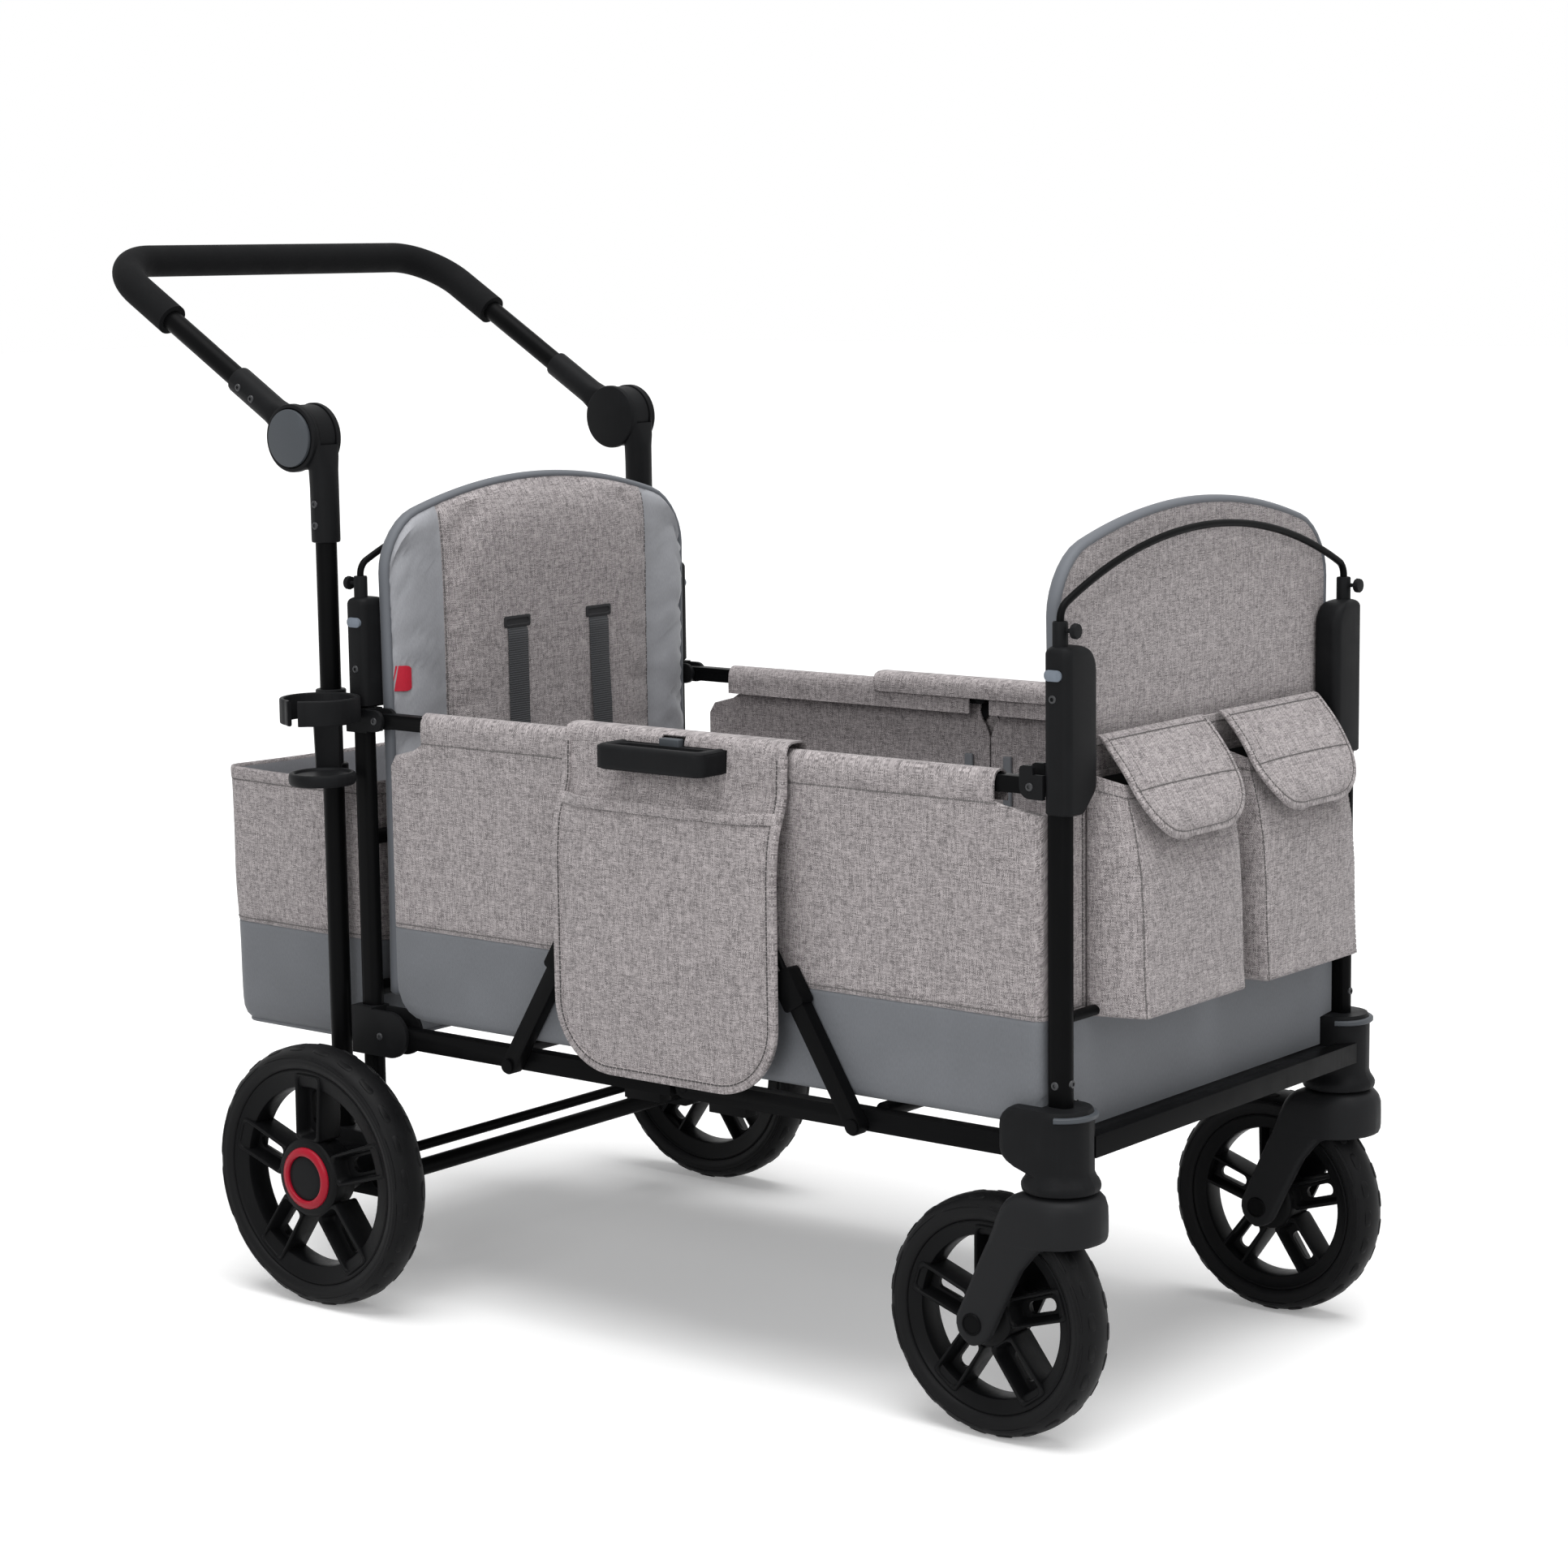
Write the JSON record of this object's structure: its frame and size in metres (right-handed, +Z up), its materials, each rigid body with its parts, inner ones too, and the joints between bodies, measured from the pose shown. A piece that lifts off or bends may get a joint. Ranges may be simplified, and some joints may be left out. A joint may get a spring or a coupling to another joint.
{
  "type": "stroller wagon",
  "caption": "Folding stroller wagon with facing padded seats in a fabric tub on a steel frame, caster front wheels, tilting push bar, rear storage bag and cup holder.",
  "frame": {"origin": "bottom centre of the bounding box, on the ground under the middle of the wagon", "axes": "+X forward, away from the push bar; +Y to the wagon's left; +Z up"},
  "size_m": [1.3032, 0.684, 1.0866],
  "materials": {
    "frame_paint": "satin black powder coat",
    "plastic": "fine-grained charcoal black",
    "accent": "smooth slate grey",
    "tyre": "matte black",
    "foam": "closed-cell foam, matte",
    "heather": "heather grey slub weave",
    "band": "smooth dark grey woven"
  },
  "bodies": {
    "rear_end": {"rear_frame": "frame_paint", "axle_housings": "plastic", "rear_axle": "frame_paint", "handle_poles": "frame_paint", "hub_bases": "plastic", "rear_housings": "plastic", "pivot_brackets": "plastic", "rear_bow": "frame_paint", "rear_seat_back": "heather", "rear_seat_pad": "heather", "storage_bag": "heather", "cup_holder": "plastic", "rear_side_walls": "heather"},
    "rear_wheel_right": {"rear_tyre_right": "tyre", "rear_wheel_right": "plastic"},
    "rear_wheel_left": {"rear_tyre_left": "tyre", "rear_wheel_left": "plastic"},
    "brake": {"brake_bar": "frame_paint"},
    "push_bar": {"push_bar": "frame_paint", "foam_grip": "foam", "hub_arms": "plastic"},
    "hub_button_right": {"hub_button_right": "accent"},
    "hub_button_left": {"hub_button_left": "accent"},
    "rear_button_right": {"rear_button_right": "accent"},
    "rear_button_left": {"rear_button_left": "accent"},
    "rear_floor": {"rear_floor_rails": "frame_paint", "rear_floor_board": "band"},
    "front_floor": {"front_floor_rails": "frame_paint", "front_floor_board": "band"},
    "front_end": {"front_frame": "frame_paint", "front_housings": "plastic", "front_bow": "frame_paint", "front_seat_back": "heather", "front_seat_pad": "heather", "front_panel": "heather", "front_pockets": "heather", "front_side_walls": "heather", "caster_brackets": "plastic"},
    "rear_top": {"rear_top_rails": "frame_paint"},
    "front_top": {"front_top_rails": "frame_paint"},
    "fold_handle": {"fold_handles": "plastic", "side_flaps": "heather"},
    "fold_button_right": {"fold_button_right": "accent"},
    "fold_button_left": {"fold_button_left": "accent"},
    "rear_channels": {"rear_strut_channels": "frame_paint"},
    "rear_rods": {"rear_strut_rods": "frame_paint"},
    "front_channels": {"front_strut_channels": "frame_paint"},
    "front_rods": {"front_strut_rods": "frame_paint"},
    "rear_battens": {"rear_wall_battens": "band"},
    "front_battens": {"front_wall_battens": "band"},
    "front_button_right": {"front_button_right": "accent"},
    "front_button_left": {"front_button_left": "accent"},
    "pocket_lid_right": {"pocket_lid_right": "heather"},
    "pocket_lid_left": {"pocket_lid_left": "heather"},
    "fork_right": {"fork_right": "plastic"},
    "fork_left": {"fork_left": "plastic"},
    "front_wheel_right": {"front_tyre_right": "tyre", "front_wheel_right": "plastic"},
    "front_wheel_left": {"front_tyre_left": "tyre", "front_wheel_left": "plastic"}
  },
  "joints": [
    {"name": "fold", "type": "hinge", "parent": "rear_end", "child": "rear_floor", "pos_m": [-0.24037, 0, 0.276], "axis": [0, -1, 0], "range_deg": [0, 55], "deforming": ["rear_side_walls", "front_side_walls", "rear_seat_pad", "front_seat_pad"]},
    {"name": "fold_front_floor", "type": "hinge", "parent": "rear_floor", "child": "front_floor", "pos_m": [0.16463, 0, 0.276], "axis": [0, 1, 0], "range_deg": [0, 110]},
    {"name": "fold_front_end", "type": "hinge", "parent": "front_floor", "child": "front_end", "pos_m": [0.56963, 0, 0.276], "axis": [0, -1, 0], "range_deg": [0, 55]},
    {"name": "fold_rear_top", "type": "hinge", "parent": "rear_end", "child": "rear_top", "pos_m": [-0.24037, 0, 0.603], "axis": [0, -1, 0], "range_deg": [0, 55]},
    {"name": "fold_front_top", "type": "hinge", "parent": "rear_top", "child": "front_top", "pos_m": [0.16463, 0, 0.603], "axis": [0, 1, 0], "range_deg": [0, 110]},
    {"name": "fold_pull", "type": "hinge", "parent": "rear_top", "child": "fold_handle", "pos_m": [0.16463, 0, 0.603], "axis": [0, 1, 0], "range_deg": [0, 55]},
    {"name": "rear_strut_foot", "type": "hinge", "parent": "rear_floor", "child": "rear_channels", "pos_m": [-0.05137, 0, 0.272], "axis": [0, 1, 0], "range_deg": [0, 33]},
    {"name": "rear_strut_head", "type": "hinge", "parent": "fold_handle", "child": "rear_rods", "pos_m": [0.10963, 0, 0.535], "axis": [0, -1, 0], "range_deg": [0, 23]},
    {"name": "front_strut_foot", "type": "hinge", "parent": "front_floor", "child": "front_channels", "pos_m": [0.38063, 0, 0.272], "axis": [0, -1, 0], "range_deg": [0, 33]},
    {"name": "front_strut_head", "type": "hinge", "parent": "fold_handle", "child": "front_rods", "pos_m": [0.21963, 0, 0.535], "axis": [0, 1, 0], "range_deg": [0, 23]},
    {"name": "rear_batten_lift", "type": "slide", "parent": "rear_end", "child": "rear_battens", "axis": [-0.4617, 0, 0.887], "range_m": [0, 0.376]},
    {"name": "front_batten_lift", "type": "slide", "parent": "front_end", "child": "front_battens", "axis": [0.4617, 0, 0.887], "range_m": [0, 0.376]},
    {"name": "rear_wheel_spin_right", "type": "hinge", "parent": "rear_end", "child": "rear_wheel_right", "pos_m": [-0.27737, -0.316, 0.136], "axis": [0, 1, 0], "continuous": true},
    {"name": "caster_swivel_right", "type": "hinge", "parent": "front_end", "child": "fork_right", "pos_m": [0.59463, -0.246, 0.24], "axis": [0, 0, 1], "continuous": true},
    {"name": "front_wheel_spin_right", "type": "hinge", "parent": "fork_right", "child": "front_wheel_right", "pos_m": [0.52563, -0.246, 0.1135], "axis": [0, 1, 0], "continuous": true},
    {"name": "hub_button_press_right", "type": "slide", "parent": "rear_end", "child": "hub_button_right", "axis": [0, 1, 0], "range_m": [0, 0.004], "stiffness_N_per_m": 1500, "springref_m": -0.002},
    {"name": "rear_button_press_right", "type": "slide", "parent": "rear_end", "child": "rear_button_right", "axis": [0, 1, 0], "range_m": [0, 0.003], "stiffness_N_per_m": 1500, "springref_m": -0.002},
    {"name": "front_button_press_right", "type": "slide", "parent": "front_end", "child": "front_button_right", "axis": [0, 1, 0], "range_m": [0, 0.003], "stiffness_N_per_m": 1500, "springref_m": -0.002},
    {"name": "fold_button_press_right", "type": "slide", "parent": "fold_handle", "child": "fold_button_right", "axis": [0, 0, -1], "range_m": [0, 0.005], "stiffness_N_per_m": 1500, "springref_m": -0.002},
    {"name": "pocket_lid_lift_right", "type": "hinge", "parent": "front_end", "child": "pocket_lid_right", "pos_m": [0.59493, -0.1, 0.64], "axis": [0, -1, 0], "range_deg": [0, 100]},
    {"name": "rear_wheel_spin_left", "type": "hinge", "parent": "rear_end", "child": "rear_wheel_left", "pos_m": [-0.27737, 0.316, 0.136], "axis": [0, 1, 0], "continuous": true},
    {"name": "caster_swivel_left", "type": "hinge", "parent": "front_end", "child": "fork_left", "pos_m": [0.59463, 0.246, 0.24], "axis": [0, 0, 1], "continuous": true},
    {"name": "front_wheel_spin_left", "type": "hinge", "parent": "fork_left", "child": "front_wheel_left", "pos_m": [0.52563, 0.246, 0.1135], "axis": [0, 1, 0], "continuous": true},
    {"name": "hub_button_press_left", "type": "slide", "parent": "rear_end", "child": "hub_button_left", "axis": [0, -1, 0], "range_m": [0, 0.004], "stiffness_N_per_m": 1500, "springref_m": -0.002},
    {"name": "rear_button_press_left", "type": "slide", "parent": "rear_end", "child": "rear_button_left", "axis": [0, -1, 0], "range_m": [0, 0.003], "stiffness_N_per_m": 1500, "springref_m": -0.002},
    {"name": "front_button_press_left", "type": "slide", "parent": "front_end", "child": "front_button_left", "axis": [0, -1, 0], "range_m": [0, 0.003], "stiffness_N_per_m": 1500, "springref_m": -0.002},
    {"name": "fold_button_press_left", "type": "slide", "parent": "fold_handle", "child": "fold_button_left", "axis": [0, 0, -1], "range_m": [0, 0.005], "stiffness_N_per_m": 1500, "springref_m": -0.002},
    {"name": "pocket_lid_lift_left", "type": "hinge", "parent": "front_end", "child": "pocket_lid_left", "pos_m": [0.59493, 0.1, 0.64], "axis": [0, -1, 0], "range_deg": [0, 100]},
    {"name": "push_bar_tilt", "type": "hinge", "parent": "rear_end", "child": "push_bar", "pos_m": [-0.33987, 0, 0.889], "axis": [0, 1, 0], "range_deg": [-50, 55]},
    {"name": "brake_press", "type": "hinge", "parent": "rear_end", "child": "brake", "pos_m": [-0.25137, 0, 0.122], "axis": [0, -1, 0], "range_deg": [0, 20]}
  ],
  "couplings": [
    {"joint": "fold_front_floor", "follows": "fold", "ratio": 2},
    {"joint": "fold_front_end", "follows": "fold", "ratio": 1},
    {"joint": "fold_rear_top", "follows": "fold", "ratio": 1},
    {"joint": "fold_front_top", "follows": "fold", "ratio": 2},
    {"joint": "fold_pull", "follows": "fold", "ratio": 1},
    {"joint": "rear_strut_foot", "follows": "fold", "ratio": 0.5875},
    {"joint": "front_strut_foot", "follows": "fold", "ratio": 0.5875},
    {"joint": "rear_strut_head", "follows": "fold", "ratio": 0.4125},
    {"joint": "front_strut_head", "follows": "fold", "ratio": 0.4125},
    {"joint": "rear_batten_lift", "follows": "fold", "m_per_rad": 0.38963},
    {"joint": "front_batten_lift", "follows": "fold", "m_per_rad": 0.38963}
  ]
}
